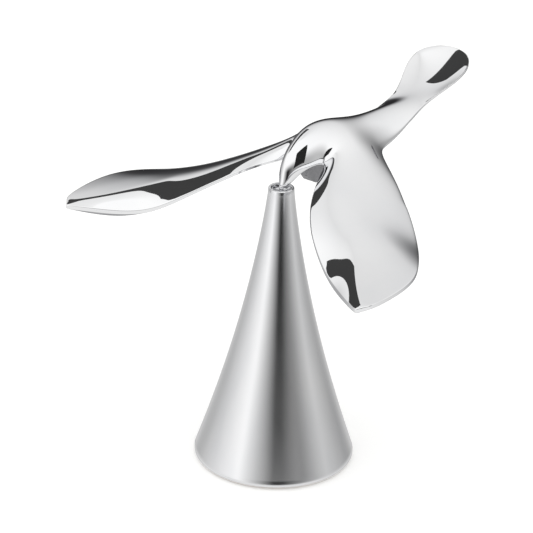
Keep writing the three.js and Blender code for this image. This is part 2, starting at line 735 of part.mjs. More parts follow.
SCREW_Y.forEach((y, i) => {
  const name = 'keel_screw_' + (i === 0 ? 'front' : 'rear');
  const head = [0, y, PIVOT[2] - 2.9];
  const tip = [0, y, centreHeight(y) - 6.2];
  addPiece(name, bolt(1.9, 1.7, SCREW_RADIUS, head, tip), ...STEEL);
});

export default group;
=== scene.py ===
"""Balancing bird on its flared stand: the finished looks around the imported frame.

Metres, +Z up, bird facing -Y. The castings are one smooth surface grown from a small control mesh,
and the stand is turned from profiles.
"""

import math

import bmesh
import bpy
import numpy as np
from mathutils import Matrix, Vector


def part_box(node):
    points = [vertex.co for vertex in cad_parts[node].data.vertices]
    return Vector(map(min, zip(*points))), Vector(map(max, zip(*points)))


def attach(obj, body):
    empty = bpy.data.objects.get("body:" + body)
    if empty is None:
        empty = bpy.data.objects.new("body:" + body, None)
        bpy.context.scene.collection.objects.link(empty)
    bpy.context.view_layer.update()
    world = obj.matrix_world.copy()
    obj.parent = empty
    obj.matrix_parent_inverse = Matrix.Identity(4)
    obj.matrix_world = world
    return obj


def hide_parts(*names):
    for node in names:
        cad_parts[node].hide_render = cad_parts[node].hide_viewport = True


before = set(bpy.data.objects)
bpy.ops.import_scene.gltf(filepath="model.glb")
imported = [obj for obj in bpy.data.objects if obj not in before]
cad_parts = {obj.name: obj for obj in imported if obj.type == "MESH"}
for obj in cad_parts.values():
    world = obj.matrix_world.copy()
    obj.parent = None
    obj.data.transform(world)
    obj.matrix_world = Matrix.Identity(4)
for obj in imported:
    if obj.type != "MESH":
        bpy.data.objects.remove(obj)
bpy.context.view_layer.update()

MM = 0.001

# ---- sizes read from the frame ------------------------------------------------------------------
ball_low, ball_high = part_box("pivot_ball")
PIVOT = (ball_low + ball_high) / 2
BALL_RADIUS = (ball_high.z - ball_low.z) / 2
column_low, column_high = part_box("stand_column")
BASE_RADIUS = column_high.x
STAND_HEIGHT = column_high.z
COLUMN_FOOT = column_low.z
cup_low, cup_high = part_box("pivot_cup")
CUP_RADIUS = cup_high.x
wing_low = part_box("left_wing")[0]
HALF_JOINT_GAP = 0.15 * MM
JOINT_X = wing_low.x - HALF_JOINT_GAP

# ---- the castings' control surface, in mm from the ball, left half ------------------------------
# body station: centre line (y, z), shoulder, side, direction of the underside, metal thicknesses
BODY = [
    ((-0.8, 0.5), (1.6, 0.1, 0.5), (1.8, 1.6, 0.6), (1, 0), (2.9, 2.2, 0.7)),
    ((-0.5, 2.8), (2.8, 0.9, 2.5), (3.2, 3.4, 2.1), (1, -0.1), (5.4, 3.9, 1.1)),
    ((-0.2, 7.5), (3.3, 2.0, 6.8), (4.4, 5.2, 5.2), (0.9, -0.4), (7.2, 5.2, 1.6)),
    ((2.0, 13.4), (4.0, 5.2, 11.6), (6.2, 8.8, 7.8), (0.6, -0.8), (9.0, 6.8, 2.0)),
    ((8.0, 19.0), (4.8, 11.0, 16.0), (7.8, 13.4, 9.4), (0.25, -1), (11.0, 8.6, 2.2)),
    ((17.5, 22.8), (5.6, 18.0, 19.6), (9.2, 19.2, 10.6), (0, -1), (8.0, 6.4, 5.6)),
    ((26.5, 23.3), (5.9, 26.0, 20.2), (10.8, 26.5, 14.6), (0, -1), (1.8, 2.6, 9.4)),
    ((35.0, 22.0), (6.0, 34.5, 19.2), (11.8, 34.0, 14.6), (0, -1), (1.8, 2.6, 9.4)),
    ((45.0, 19.2), (6.2, 44.5, 16.6), (12.6, 43.5, 11.0), (0, -1), (1.8, 2.6, 7.4)),
    ((56.0, 16.6), (6.4, 55.5, 13.8), (12.6, 54.0, 5.0), (0, -1), (1.7, 2.2, 3.4)),
    ((68.0, 15.4), (6.2, 67.5, 12.0), (11.4, 67.0, 4.4), (0, -1), (1.6, 1.8, 1.8)),
    ((81.0, 14.4), (5.6, 80.5, 12.0), (10.0, 80.5, 8.2), (0, -1), (1.6, 1.6, 1.6)),
    ((94.0, 12.6), (4.6, 94.0, 12.2), (8.0, 94.0, 12.0), (0, -1), (1.6, 1.6, 1.6)),
    ((106.0, 14.0), (6.0, 105.0, 14.6), (11.2, 103.5, 16.4), (0.1, -1), (1.5, 1.5, 1.6)),
    ((117.0, 18.6), (8.4, 115.5, 19.2), (15.0, 113.0, 21.0), (0.3, -1), (1.5, 1.5, 1.6)),
    ((126.5, 25.4), (8.8, 124.5, 25.0), (14.6, 120.5, 24.8), (0.3, -1), (1.5, 1.5, 1.6)),
    ((129.0, 27.4), (5.6, 128.2, 27.0), (10.0, 126.4, 26.2), (0.3, -1), (1.5, 1.5, 1.6)),
]
ROOT = (5, 6, 7, 8, 9)
# wing station: leading edge, front face, ridge, rear face, trailing edge, metal under the ridge
WING = [
    ((10.2, 14.6, 5.4), (12.4, 18.5, 10.2), (15, 24, 11.4), (19, 35, 7.4), (24, 47.5, 0.8), 5.6),
    ((13.5, 8.8, 5.4), (15.8, 11, 8), (19.4, 14, 8.6), (29.5, 24, 2.6), (41.5, 34.5, -7.2), 4.0),
    ((18.2, -1.6, 4.2), (21.3, 1, 5.8), (26, 4.5, 5.9), (38.5, 14.8, -1.6),
     (52, 25.6, -11.2), 3.0),
    ((25, -13.8, 0.2), (29.6, -9.8, 1.6), (35.3, -4.8, 1.5), (48, 5.3, -4.7),
     (61.5, 15.6, -14), 3.0),
    ((34.2, -23, -5.8), (39.8, -18.5, -4), (46, -13.4, -3.2), (57.5, -3.7, -6.5),
     (69.5, 5.2, -13), 5.2),
    ((46, -30.6, -13.8), (50.4, -26.8, -9.6), (55.3, -22.4, -7.7), (66, -13.6, -8.4),
     (77, -6, -11.6), 7.2),
    ((57, -37.8, -15.6), (59.5, -35, -12), (62.6, -32.1, -9.9), (72, -24, -10.2),
     (82.6, -17, -11.6), 7.6),
    ((67.5, -45.6, -14.4), (69, -43.4, -12.9), (70.6, -41.3, -11.8), (77, -36, -11.6),
     (84, -31.5, -12.2), 5.6),
    ((77.6, -51.8, -14), (78.4, -50.8, -13.6), (79.2, -49.6, -13.3), (80.8, -47.8, -13),
     (82.4, -45.6, -12.8), 2.4),
]
RIDGE_FROM = 5
EDGE_THICKNESS = 1.8
METAL_SHARE = (0, 0.9, 1, 0.45, 0)
ROOT_THINNING = (1.0, 0.8, 0.5, 0.2)     # taken off the leading edge at the first wing stations
TIP_WEIGHT = 1.317
SMOOTHING_LEVELS = 4
BEHIND_WINGS = 70 * MM
TIP_FROM_X = 40                          # wing stations beyond this carry the tip weight
SIDE_INSET = 0.97                        # the underside's edge, as a share of the upper one
CUT_TOLERANCE = 1e-7


def at(x, y, z):
    """A drawn point, in mm from the ball, in the row frame."""
    return Vector((x * MM, y * MM, z * MM)) + PIVOT


# ---- mesh helpers -------------------------------------------------------------------------------
def new_object(name, mesh):
    obj = bpy.data.objects.new(name, mesh)
    bpy.context.scene.collection.objects.link(obj)
    return obj


def finish_piece(obj, body, material, nodes=()):
    """Puts a material on a finished piece and ties it to the frame."""
    obj.data.materials.clear()
    obj.data.materials.append(material)
    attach(obj, body)
    if nodes:
        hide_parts(*nodes)


class Cage:
    """Control mesh with creases, built up row by row."""

    def __init__(self):
        self.points = []
        self.faces = []
        self.creases = {}

    def add(self, x, y, z):
        self.points.append(at(x, y, z))
        return len(self.points) - 1

    def face(self, quad, flip=False):
        self.faces.append(tuple(reversed(quad)) if flip else tuple(quad))

    def grid(self, rows, flip):
        for a, b in zip(rows, rows[1:]):
            for k in range(len(a) - 1):
                self.face((a[k], a[k + 1], b[k + 1], b[k]), flip)

    def rim(self, upper, lower):
        for i in range(len(upper) - 1):
            self.face((upper[i + 1], upper[i], lower[i], lower[i + 1]))

    def crease(self, line, sharpness):
        """Keeps a line sharp for about that many rounds of smoothing, at each of its edges."""
        for i, (a, b) in enumerate(zip(line, line[1:])):
            value = sharpness(i) if callable(sharpness) else sharpness
            self.creases[frozenset((a, b))] = math.sqrt(value / 10)


def body_points(station):
    """Upper and lower points of one half of a body station."""
    centre, shoulder, side, down, metal = station
    down = Vector(down).normalized()
    upper = [(0, *centre), shoulder, side]
    lower = []
    for i, (x, y, z) in enumerate(upper):
        inset = SIDE_INSET if i == 2 else 1
        lower.append((x * inset, y + metal[i] * down.x, z + metal[i] * down.y))
    return upper, lower


def wing_points(station, thinning):
    """Upper and lower points of one wing station."""
    outer = TIP_WEIGHT if station[0][0] > TIP_FROM_X else 1
    extra = (station[5] - EDGE_THICKNESS) * outer
    upper = list(station[:5])
    lower = [
        (x, y, z - EDGE_THICKNESS - share * extra)
        for (x, y, z), share in zip(upper, METAL_SHARE)
    ]
    x, y, z = lower[0]
    lower[0] = (x, y, z + thinning)
    return upper, lower


def half_layers(cage, side, centre_ids):
    """Vertex numbers of one half: (body rows, wing rows) for the upper and the lower surface."""
    layers = []
    for layer in (0, 1):
        body = []
        for station, ids in zip(BODY, centre_ids):
            points = body_points(station)[layer]
            body.append([ids[layer]] + [cage.add(side * x, y, z) for x, y, z in points[1:]])
        wing = [[body[i][2] for i in ROOT]]
        for station, thinning in zip(WING, ROOT_THINNING + (0,) * len(WING)):
            points = wing_points(station, thinning)[layer]
            wing.append([cage.add(side * x, y, z) for x, y, z in points])
        layers.append((body, wing))
    return layers


def outline(body, wing):
    """The edge of one half, from the beak round the wing to the tail."""
    head = [body[0][0], body[0][1]] + [row[2] for row in body[: ROOT[0] + 1]]
    lead = [row[0] for row in wing[1:]]
    tip = wing[-1][1:4]
    trail = [row[4] for row in reversed(wing[1:])]
    tail = [row[2] for row in body[ROOT[-1]:]]
    return head + lead + tip + trail + tail + [body[-1][1], body[-1][0]]


def crease_half(cage, layers):
    for body, wing in layers:
        cage.crease([row[0] for row in wing[1:]], 3)
        cage.crease([row[4] for row in wing[1:]], lambda i: 1 if i == 0 else 3)
        cage.crease(wing[-1], 2)
        cage.crease([row[2] for row in body[ROOT[-1]:]], lambda i: 1 if i < 2 else 3)
        cage.crease(list(reversed(body[-1])), 3)
        cage.crease(body[0], 1)
    cage.crease([row[2] for row in layers[0][1][RIDGE_FROM:]], 1.5)


def bird_cage():
    cage = Cage()
    centre_ids = []
    for station in BODY:
        upper, lower = body_points(station)
        centre_ids.append((cage.add(*upper[0]), cage.add(*lower[0])))
    for side in (1, -1):
        layers = half_layers(cage, side, centre_ids)
        for number, (body, wing) in enumerate(layers):
            flip = (side < 0) != (number == 1)
            cage.grid(body, flip)
            cage.grid(wing, not flip)
        upper, lower = (outline(*layer) for layer in layers)
        if side < 0:
            upper, lower = upper[::-1], lower[::-1]
        cage.rim(upper, lower)
        crease_half(cage, layers)
    return cage


def smooth_bird():
    """The control mesh after subdivision, as one mesh."""
    cage = bird_cage()
    mesh = bpy.data.meshes.new("bird_cage")
    mesh.from_pydata([tuple(p) for p in cage.points], [], cage.faces)
    crease = mesh.attributes.new("crease_edge", "FLOAT", "EDGE")
    for edge in mesh.edges:
        crease.data[edge.index].value = cage.creases.get(frozenset(edge.vertices), 0)
    obj = new_object("bird_cage", mesh)
    modifier = obj.modifiers.new("smooth", "SUBSURF")
    modifier.levels = modifier.render_levels = SMOOTHING_LEVELS
    bpy.context.view_layer.update()
    evaluated = obj.evaluated_get(bpy.context.evaluated_depsgraph_get())
    result = bpy.data.meshes.new_from_object(evaluated)
    bpy.data.objects.remove(obj)
    return result


def in_wing(co, side):
    return side * co.x > JOINT_X and co.y < BEHIND_WINGS


def split_bird(mesh):
    """Cuts the wings off at the joints and closes the cuts: {piece name: mesh}."""
    bm = bmesh.new()
    bm.from_mesh(mesh)
    for side in (1, -1):
        near = [f for f in bm.faces if f.calc_center_median().y < BEHIND_WINGS]
        geom = list({v for f in near for v in f.verts}) + list({e for f in near for e in f.edges})
        bmesh.ops.bisect_plane(
            bm, geom=geom + near, dist=CUT_TOLERANCE,
            plane_co=(side * JOINT_X, 0, 0), plane_no=(1, 0, 0)
        )
    parts = {"bird_body": [], "left_wing": [], "right_wing": []}
    for face in bm.faces:
        centre = face.calc_center_median()
        name = "bird_body"
        if in_wing(centre, 1):
            name = "left_wing"
        elif in_wing(centre, -1):
            name = "right_wing"
        parts[name].append(face.index)
    meshes = {}
    for name, keep in parts.items():
        part = bm.copy()
        part.faces.ensure_lookup_table()
        kept = set(keep)
        bmesh.ops.delete(
            part, geom=[f for f in part.faces if f.index not in kept], context="FACES"
        )
        open_edges = [e for e in part.edges if e.is_boundary]
        bmesh.ops.holes_fill(part, edges=open_edges, sides=0)
        for edge in open_edges:
            edge.smooth = False
        for face in part.faces:
            face.smooth = True
        out = bpy.data.meshes.new(name)
        part.to_mesh(out)
        part.free()
        meshes[name] = out
    bm.free()
    return meshes


TURN_STEPS = 192
CRISP_ANGLE = math.radians(30)
ON_AXIS = 1e-9


def turned(name, profile, steps=TURN_STEPS):
    """A body of revolution about Z from a closed (radius, z) profile in metres."""
    bm = bmesh.new()
    rings = []
    for r, z in profile:
        if r < ON_AXIS:
            rings.append([bm.verts.new((0, 0, z))] * steps)
            continue
        ring = []
        for i in range(steps):
            a = 2 * math.pi * i / steps
            ring.append(bm.verts.new((r * math.cos(a), r * math.sin(a), z)))
        rings.append(ring)
    for k, low in enumerate(rings):
        high = rings[(k + 1) % len(rings)]
        for i in range(steps):
            j = (i + 1) % steps
            corners = list(dict.fromkeys((low[i], low[j], high[j], high[i])))
            if len(corners) > 2:
                bm.faces.new(corners)
    for face in bm.faces:
        face.smooth = True
    for edge in bm.edges:
        if len(edge.link_faces) == 2 and edge.calc_face_angle(0) > CRISP_ANGLE:
            edge.smooth = False
    mesh = bpy.data.meshes.new(name)
    bm.to_mesh(mesh)
    bm.free()
    return new_object(name, mesh)


def arc(centre, radius, start, end, count):
    """Points of a profile's rounded corner, angles in degrees."""
    points = []
    for i in range(count + 1):
        a = math.radians(start + (end - start) * i / count)
        points.append((centre[0] + radius * math.cos(a), centre[1] + radius * math.sin(a)))
    return points


# ---- materials ----------------------------------------------------------------------------------
NOISE_ROUGHNESS = 0.55
NOISE_SPREAD = (0.3, 0.7)                # the part of the noise's range that a look is spread over


class Look:
    """A node material built up step by step around one Principled shader."""

    def __init__(self, name, color, metallic, roughness):
        self.material = bpy.data.materials.new(name)
        self.material.use_nodes = True
        self.tree = self.material.node_tree
        self.shader = self.tree.nodes["Principled BSDF"]
        self.shader.inputs["Base Color"].default_value = (*color, 1)
        self.shader.inputs["Metallic"].default_value = metallic
        self.shader.inputs["Roughness"].default_value = roughness
        self.place = self.tree.nodes.new("ShaderNodeTexCoord").outputs["Object"]
        self.height = None

    def link(self, a, b):
        self.tree.links.new(a, b)

    def stretched(self, scale):
        """Object coordinates multiplied by a scale along each axis."""
        mapping = self.tree.nodes.new("ShaderNodeMapping")
        mapping.inputs["Scale"].default_value = scale
        self.link(self.place, mapping.inputs["Vector"])
        return mapping.outputs["Vector"]

    def noise(self, scale, detail=4, stretch=(1, 1, 1)):
        node = self.tree.nodes.new("ShaderNodeTexNoise")
        node.inputs["Scale"].default_value = scale
        node.inputs["Detail"].default_value = detail
        node.inputs["Roughness"].default_value = NOISE_ROUGHNESS
        self.link(self.stretched(stretch), node.inputs["Vector"])
        return node.outputs["Fac"]

    def cells(self, scale):
        node = self.tree.nodes.new("ShaderNodeTexVoronoi")
        node.inputs["Scale"].default_value = scale
        self.link(self.place, node.inputs["Vector"])
        return node.outputs

    def remap(self, value, low, high, out_low, out_high):
        node = self.tree.nodes.new("ShaderNodeMapRange")
        for socket, number in zip(
            ("From Min", "From Max", "To Min", "To Max"), (low, high, out_low, out_high)
        ):
            node.inputs[socket].default_value = number
        self.link(value, node.inputs["Value"])
        return node.outputs["Result"]

    def vary_roughness(self, value, low, high):
        self.link(self.remap(value, *NOISE_SPREAD, low, high), self.shader.inputs["Roughness"])

    def vary_color(self, value, dark, light):
        ramp = self.tree.nodes.new("ShaderNodeValToRGB")
        ramp.color_ramp.elements[0].position = NOISE_SPREAD[0]
        ramp.color_ramp.elements[1].position = NOISE_SPREAD[1]
        ramp.color_ramp.elements[0].color = (*dark, 1)
        ramp.color_ramp.elements[1].color = (*light, 1)
        self.link(value, ramp.inputs["Fac"])
        self.link(ramp.outputs["Color"], self.shader.inputs["Base Color"])

    def relief(self, value, depth, strength):
        """Adds a bump of that depth in metres on top of any earlier one."""
        node = self.tree.nodes.new("ShaderNodeBump")
        node.inputs["Strength"].default_value = strength
        node.inputs["Distance"].default_value = depth
        self.link(value, node.inputs["Height"])
        if self.height is not None:
            self.link(self.height, node.inputs["Normal"])
        self.height = node.outputs["Normal"]
        self.link(self.height, self.shader.inputs["Normal"])


def polished_chrome():
    """Mirror plating: faint haze, hairline handling scratches."""
    look = Look("polished_chrome", (0.93, 0.935, 0.94), 1, 0.03)
    look.shader.inputs["Specular Tint"].default_value = (0.35, 0.35, 0.37, 1)
    look.vary_color(look.noise(35, 4), (0.91, 0.915, 0.925), (0.95, 0.95, 0.952))
    look.vary_roughness(look.noise(60, 5), 0.02, 0.045)
    look.relief(look.noise(900, 3, (1, 0.12, 1)), 0.0000006, 0.25)
    return look.material


def satin_column():
    """Finely finished steel, lines run up the column."""
    look = Look("satin_column", (0.86, 0.865, 0.875), 1, 0.17)
    look.vary_color(look.noise(70, 5, (1, 1, 0.1)), (0.83, 0.835, 0.85), (0.89, 0.89, 0.895))
    look.vary_roughness(look.noise(45, 6, (1, 1, 0.12)), 0.13, 0.2)
    look.relief(look.noise(2600, 2, (1, 1, 0.02)), 0.0000012, 0.3)
    return look.material


def cup_polish():
    look = Look("cup_polish", (0.8, 0.81, 0.82), 1, 0.06)
    look.vary_color(look.noise(800, 4), (0.74, 0.75, 0.77), (0.85, 0.855, 0.86))
    look.vary_roughness(look.noise(900, 4), 0.04, 0.1)
    look.relief(look.noise(2200, 4), 0.000004, 0.35)
    return look.material


def bearing_steel():
    look = Look("bearing_steel", (0.72, 0.72, 0.74), 1, 0.2)
    look.vary_color(look.noise(600, 5), (0.66, 0.66, 0.68), (0.78, 0.78, 0.79))
    look.vary_roughness(look.noise(700, 5), 0.14, 0.28)
    look.relief(look.noise(4000, 3, (1, 1, 0.2)), 0.000002, 0.4)
    return look.material


def machined_zinc():
    look = Look("machined_zinc", (0.6, 0.61, 0.63), 1, 0.36)
    look.vary_color(look.noise(120, 5), (0.5, 0.51, 0.54), (0.68, 0.68, 0.69))
    look.vary_roughness(look.noise(260, 5), 0.28, 0.46)
    look.relief(look.noise(3000, 3), 0.000004, 0.4)
    return look.material


def cast_iron():
    look = Look("cast_iron", (0.05, 0.05, 0.055), 0.6, 0.7)
    look.vary_color(look.noise(400, 6), (0.03, 0.03, 0.033), (0.09, 0.088, 0.086))
    look.vary_roughness(look.noise(900, 4), 0.55, 0.85)
    look.relief(look.noise(1500, 8), 0.0002, 0.6)
    return look.material


def turned_brass():
    look = Look("turned_brass", (0.72, 0.52, 0.22), 1, 0.28)
    look.vary_color(look.noise(200, 4), (0.62, 0.43, 0.17), (0.78, 0.58, 0.27))
    look.vary_roughness(look.noise(500, 4), 0.2, 0.38)
    look.relief(look.noise(2500, 2, (0.05, 0.05, 1)), 0.000006, 0.4)
    return look.material


def cork():
    """Pressed cork: coloured granules with darker gaps."""
    look = Look("cork", (0.3, 0.19, 0.1), 0, 0.9)
    cells = look.cells(900)
    look.vary_color(look.noise(1400, 5), (0.2, 0.11, 0.055), (0.5, 0.34, 0.19))
    look.relief(cells["Distance"], 0.0003, 0.7)
    look.vary_roughness(look.noise(800, 3), 0.8, 0.98)
    return look.material


def keel_satin_painted_reflection():
    """Blasted aluminium block: the roughness and grain are its finish, and its dark grey colour is
    a painted reflection of the grey under the belly.
    """
    # painted reflection: these dark grey base colours stand in for the grey that the chrome belly
    # reflects there
    look = Look("keel_satin_painted_reflection", (0.33, 0.33, 0.34), 1, 0.42)
    look.vary_color(look.noise(250, 5), (0.29, 0.29, 0.3), (0.37, 0.37, 0.38))
    look.vary_roughness(look.noise(900, 4), 0.36, 0.5)
    look.relief(look.noise(5200, 4), 0.00001, 0.4)
    return look.material


# ---- the bird -----------------------------------------------------------------------------------
def build_castings(chrome):
    meshes = split_bird(smooth_bird())
    for name, mesh in meshes.items():
        piece = new_object(name + "_casting", mesh)
        finish_piece(piece, "bird", chrome, (name,))


def build_ball(material):
    bm = bmesh.new()
    bmesh.ops.create_uvsphere(bm, u_segments=48, v_segments=24, radius=BALL_RADIUS)
    bmesh.ops.translate(bm, verts=bm.verts, vec=PIVOT)
    for face in bm.faces:
        face.smooth = True
    mesh = bpy.data.meshes.new("bearing_ball")
    bm.to_mesh(mesh)
    bm.free()
    finish_piece(new_object("bearing_ball", mesh), "ball", material,
                 ("pivot_ball",))


SCREW_PLACES = ((22.5, 21.2), (33.5, 20.3))     # y and top of each boss, in mm from the ball
BOSS_FOOT = 7.5                          # bosses: all in mm
BOSS_RADIUS = 2.9
BOSS_BORE = 1.15
BOSS_CORNER = 0.3
BORE_SHORT_OF_TOP = 3.6


def build_bosses(material):
    """Two screw bosses that come down from the back to the keel block."""
    for name, (y, top) in zip(("screw_boss_front", "screw_boss_rear"), SCREW_PLACES):
        bore_end = top - BORE_SHORT_OF_TOP
        profile = [(0, bore_end), (BOSS_BORE, bore_end), (BOSS_BORE, BOSS_FOOT),
                   (BOSS_RADIUS - BOSS_CORNER, BOSS_FOOT), (BOSS_RADIUS, BOSS_FOOT + BOSS_CORNER),
                   (BOSS_RADIUS, top), (0, top)]
        piece = turned(name, [(r * MM, z * MM) for r, z in profile], steps=48)
        piece.data.transform(Matrix.Translation(at(0, y, 0)))
        finish_piece(piece, "bird", material)


KEEL_EDGE = 0.3 * MM
KEEL_WELD = 1e-6
FLAT_ANGLE = math.radians(1)
SHARP_ANGLE = math.radians(25)


def build_keel(material):
    """The keel block with its edges broken."""
    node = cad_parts["keel_block"]
    bm = bmesh.new()
    bm.from_mesh(node.data)
    bm.transform(node.matrix_world)
    bmesh.ops.remove_doubles(bm, verts=bm.verts, dist=KEEL_WELD)
    bmesh.ops.dissolve_limit(bm, angle_limit=FLAT_ANGLE, verts=bm.verts, edges=bm.edges)
    sharp = [e for e in bm.edges if e.calc_face_angle(0) > SHARP_ANGLE]
    bmesh.ops.bevel(
        bm, geom=sharp, offset=KEEL_EDGE, segments=2, profile=0.5, affect="EDGES",
        clamp_overlap=True
    )
    mesh = bpy.data.meshes.new("keel_casting")
    bm.to_mesh(mesh)
    bm.free()
    finish_piece(new_object("keel_casting", mesh), "bird", material,
                 ("keel_block",))


# ---- the stand ----------------------------------------------------------------------------------
RIM_RADIUS = 5.6 * MM
COLUMN_WALL = 1.2 * MM
FOOT_LAND = 3.0 * MM
FLARE_POWER = 1.44
FLARE_EASING = 0.17
FOOT_ROUNDING = 0.5 * MM
LIP_ROUNDING = 0.35 * MM
MOUTH_DEPTH = 4 * MM


def column_radius(z):
    """Outside radius of the flare at height z."""
    u = min(1, max(0, (z - FOOT_LAND) / (STAND_HEIGHT - FOOT_LAND)))
    return RIM_RADIUS + (BASE_RADIUS - RIM_RADIUS) * (1 - u) ** (
        FLARE_POWER - FLARE_EASING * u * u
    )


def build_column(material):
    edge, lip = FOOT_ROUNDING, LIP_ROUNDING
    outside = arc((BASE_RADIUS - edge, COLUMN_FOOT + edge), edge, -90, 0, 6)
    outside += [(column_radius(z), z) for z in np.linspace(FOOT_LAND, STAND_HEIGHT - lip, 90)]
    top = column_radius(STAND_HEIGHT)
    outside += arc((top - lip, STAND_HEIGHT - lip), lip, 15, 90, 6)
    inner = top - COLUMN_WALL
    inside = arc((inner + lip, STAND_HEIGHT - lip), lip, 95, 180, 6)
    for z in np.linspace(STAND_HEIGHT - MOUTH_DEPTH, FOOT_LAND, 30):
        inside.append((column_radius(z) - COLUMN_WALL, z))
    inside.append((BASE_RADIUS - COLUMN_WALL, COLUMN_FOOT))
    piece = turned("column_shell", outside + inside)
    finish_piece(piece, "stand", material, ("stand_column",))


BALL_CLEARANCE = 0.25 * MM
CUP_CHAMFER = 0.3 * MM
CUP_LAND = 0.35 * MM                     # flat rim of the cup, and how far it lies below the lip
BOWL_DROP = 0.22 * MM
SEAT_SHARE = 0.8                         # radius where the bowl meets the seat, over the seat's
BOWL_DEPTH_SHARE = 0.72
SEAT_ANGLE = math.radians(42)


def build_cup(material):
    """Dished cup with a small seat for the ball."""
    low = cup_low.z
    well = BALL_RADIUS + BALL_CLEARANCE
    seat = STAND_HEIGHT - well
    meet = well * SEAT_SHARE
    bowl = []
    for t in np.linspace(0, 1, 20):
        r = meet + (CUP_RADIUS - CUP_LAND - meet) * (1 - t)
        depth = well * BOWL_DEPTH_SHARE * (1 - ((r - meet) / (CUP_RADIUS - meet)) ** 2)
        bowl.append((r, STAND_HEIGHT - BOWL_DROP - depth))
    seat_arc = [(well * math.sin(a), STAND_HEIGHT - well * math.cos(a))
                for a in np.linspace(SEAT_ANGLE, 0, 8)]
    profile = [(0, low), (CUP_RADIUS - CUP_CHAMFER, low), (CUP_RADIUS, low + CUP_CHAMFER),
               (CUP_RADIUS, STAND_HEIGHT - CUP_LAND)]
    profile += [(max(r, 0), max(z, seat)) for r, z in bowl + seat_arc]
    piece = turned("cup_dish", profile, steps=96)
    finish_piece(piece, "cup", material, ("pivot_cup",))


# ---- put it together ----------------------------------------------------------------------------
def dress_cad(node, material):
    """A CAD node that stays as it is gets its material."""
    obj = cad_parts[node]
    obj.data.materials.clear()
    obj.data.materials.append(material)


chrome = polished_chrome()
steel = bearing_steel()
zinc = machined_zinc()

build_castings(chrome)
build_bosses(chrome)
# the keel block's dark grey is a painted reflection of the grey under the belly
build_keel(keel_satin_painted_reflection())
build_ball(steel)
build_column(satin_column())
build_cup(cup_polish())
for node in ("base_plate", "tie_rod", "tie_washer", "tie_nut"):
    dress_cad(node, zinc)
for node in ("beak_pin", "left_dowel_front", "left_dowel_rear", "right_dowel_front",
             "right_dowel_rear", "keel_screw_front", "keel_screw_rear"):
    dress_cad(node, steel)
dress_cad("stand_weight", cast_iron())
dress_cad("top_plug", turned_brass())
dress_cad("foot_pad", cork())


# ---- studio -------------------------------------------------------------------------------------
VIEW_AZIMUTH = 37.2
VIEW_ELEVATION = 25.518
VIEW_ROLL = 1.605
VIEW_DISTANCE = 1.2
VIEW_LENS = 186.0
AIM_SIDE = -5.445 * MM
AIM_HEIGHT = 91.777 * MM
SENSOR_WIDTH = 36
NEAR, FAR = 0.01, 20


def build_camera():
    a, e, r = (math.radians(v) for v in (VIEW_AZIMUTH, VIEW_ELEVATION, VIEW_ROLL))
    back = Vector((math.sin(a) * math.cos(e), -math.cos(a) * math.cos(e), math.sin(e)))
    right = Vector((math.cos(a), math.sin(a), 0))
    up = back.cross(right)
    rolled = math.cos(r) * right + math.sin(r) * up
    up = math.cos(r) * up - math.sin(r) * right
    aim = Vector((AIM_SIDE * math.cos(a), AIM_SIDE * math.sin(a), AIM_HEIGHT))
    data = bpy.data.cameras.new("camera")
    data.lens = VIEW_LENS
    data.sensor_width = SENSOR_WIDTH
    data.dof.use_dof = False
    data.clip_start = NEAR
    data.clip_end = FAR
    camera = bpy.data.objects.new("camera", data)
    bpy.context.scene.collection.objects.link(camera)
    matrix = Matrix((rolled, up, back)).transposed().to_4x4()
    matrix.translation = aim + back * VIEW_DISTANCE
    camera.matrix_world = matrix
    bpy.context.scene.camera = camera


def from_view(azimuth, elevation):
    """Unit vector at these angles, counted from the camera's side of the stand."""
    a, e = math.radians(VIEW_AZIMUTH + azimuth), math.radians(elevation)
    return Vector((math.sin(a) * math.cos(e), -math.cos(a) * math.cos(e), math.sin(e)))


def glowing(name, value):
    """Studio card of one even brightness."""
    material = bpy.data.materials.new(name)
    material.use_nodes = True
    shader = material.node_tree.nodes["Principled BSDF"]
    shader.inputs["Base Color"].default_value = (0, 0, 0, 1)
    shader.inputs["Specular IOR Level"].default_value = 0
    shader.inputs["Emission Color"].default_value = (value, value, value, 1)
    shader.inputs["Emission Strength"].default_value = 1
    return material


def panel(name, azimuth, elevation, distance, width, height, glow):
    """Flat rectangular card that faces the bird, seen in the chrome and never by the camera."""
    out = from_view(azimuth, elevation)
    across = Vector((0, 0, 1)).cross(out).normalized()
    up = out.cross(across)
    middle = PIVOT + distance * out
    corners = [middle + i * width / 2 * across + j * height / 2 * up
               for i, j in ((-1, -1), (1, -1), (1, 1), (-1, 1))]
    mesh = bpy.data.meshes.new(name)
    mesh.from_pydata([tuple(p) for p in corners], [], [(0, 1, 2, 3)])
    mesh.materials.append(glowing(name, glow))
    obj = new_object(name, mesh)
    obj.visible_camera = False
    obj.visible_diffuse = False
    obj.visible_shadow = False


# azimuth from the camera's side and elevation in degrees, then distance, width, height, brightness
FLAGS = {
    "front_flag": (48, 20, 0.8, 0.3, 0.6, 0.02),
    "back_flag": (-140, 44, 0.6, 0.5, 0.26, 0.05),
}


def build_panels():
    """Two broad black cards, the usual way to give chrome an edge in a white studio."""
    for name, numbers in FLAGS.items():
        panel(name, *numbers)


FLOOR_HALF = 6.0
FLOOR_GLOW = 0.3
BACKDROP_RADIUS = 8


